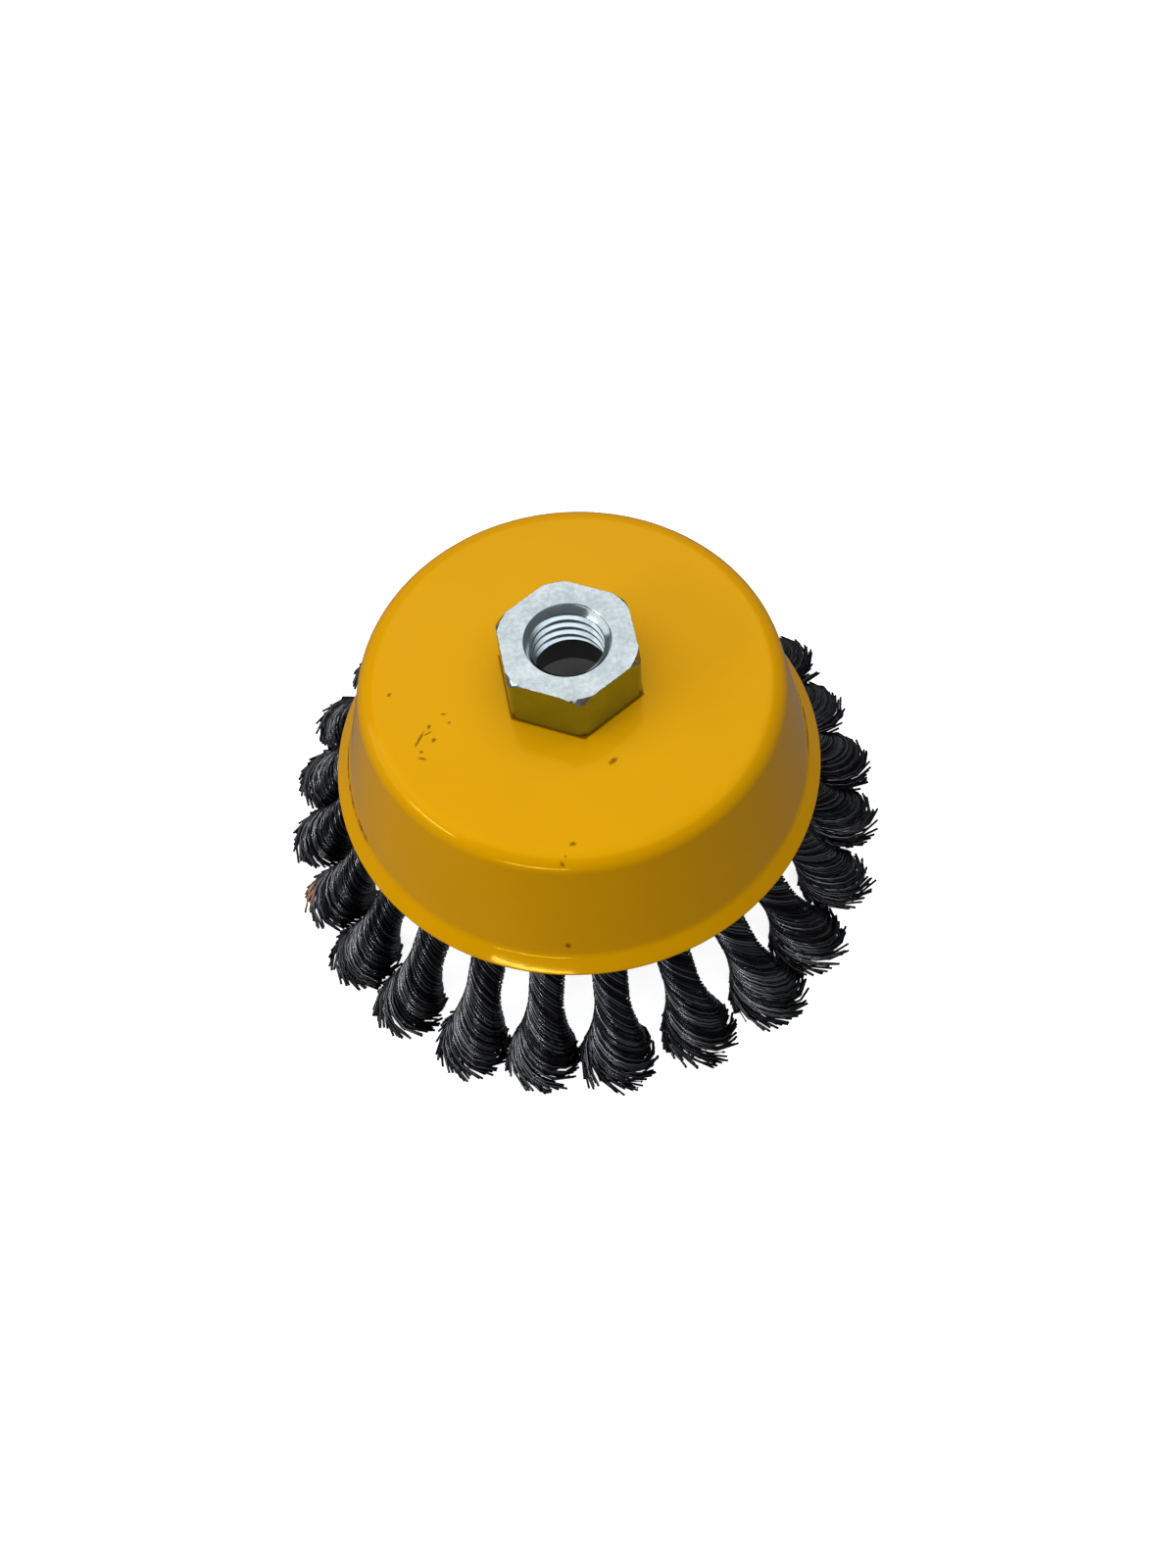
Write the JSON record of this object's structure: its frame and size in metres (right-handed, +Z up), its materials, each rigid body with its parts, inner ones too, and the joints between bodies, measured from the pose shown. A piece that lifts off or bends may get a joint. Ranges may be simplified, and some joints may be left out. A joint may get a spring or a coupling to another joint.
{
  "type": "wire cup brush",
  "caption": "Twisted-knot wire cup brush: flared steel wire knots hang from a yellow enamelled steel cup with a threaded hexagonal nut for an angle grinder's spindle.",
  "frame": {"origin": "on the spindle axis, in the plane of the wire tips that the brush stands on", "axes": "+Z up along the spindle axis, out of the mouth of the threaded hole; +X through the middle of the first knot"},
  "size_m": [0.1232, 0.1232, 0.0658],
  "materials": {
    "yellow_enamel": "glossy amber-yellow baked enamel on pressed steel, with small pits, specks and dark rub marks above the lip",
    "zinc_plated_nut": "bright bluish zinc plating over turned steel, faint turning rings round the mouth of the thread",
    "pressed_steel": "plain dark pressed steel, slightly oily",
    "steel_wire": "dark grey oil-tempered steel wire, semi-gloss, a few tips browned by rust"
  },
  "bodies": {
    "root": {"arbor_nut": "zinc_plated_nut", "outer_cup": "yellow_enamel", "knot_holder": "pressed_steel", "retaining_plate": "pressed_steel", "wire_knot_01": "steel_wire", "wire_knot_02": "steel_wire", "wire_knot_03": "steel_wire", "wire_knot_04": "steel_wire", "wire_knot_05": "steel_wire", "wire_knot_06": "steel_wire", "wire_knot_07": "steel_wire", "wire_knot_08": "steel_wire", "wire_knot_09": "steel_wire", "wire_knot_10": "steel_wire", "wire_knot_11": "steel_wire", "wire_knot_12": "steel_wire", "wire_knot_13": "steel_wire", "wire_knot_14": "steel_wire", "wire_knot_15": "steel_wire", "wire_knot_16": "steel_wire", "wire_knot_17": "steel_wire", "wire_knot_18": "steel_wire", "wire_knot_19": "steel_wire", "wire_knot_20": "steel_wire", "wire_knot_21": "steel_wire", "wire_knot_22": "steel_wire", "wire_knot_23": "steel_wire", "wire_knot_24": "steel_wire"}
  },
  "joints": []
}
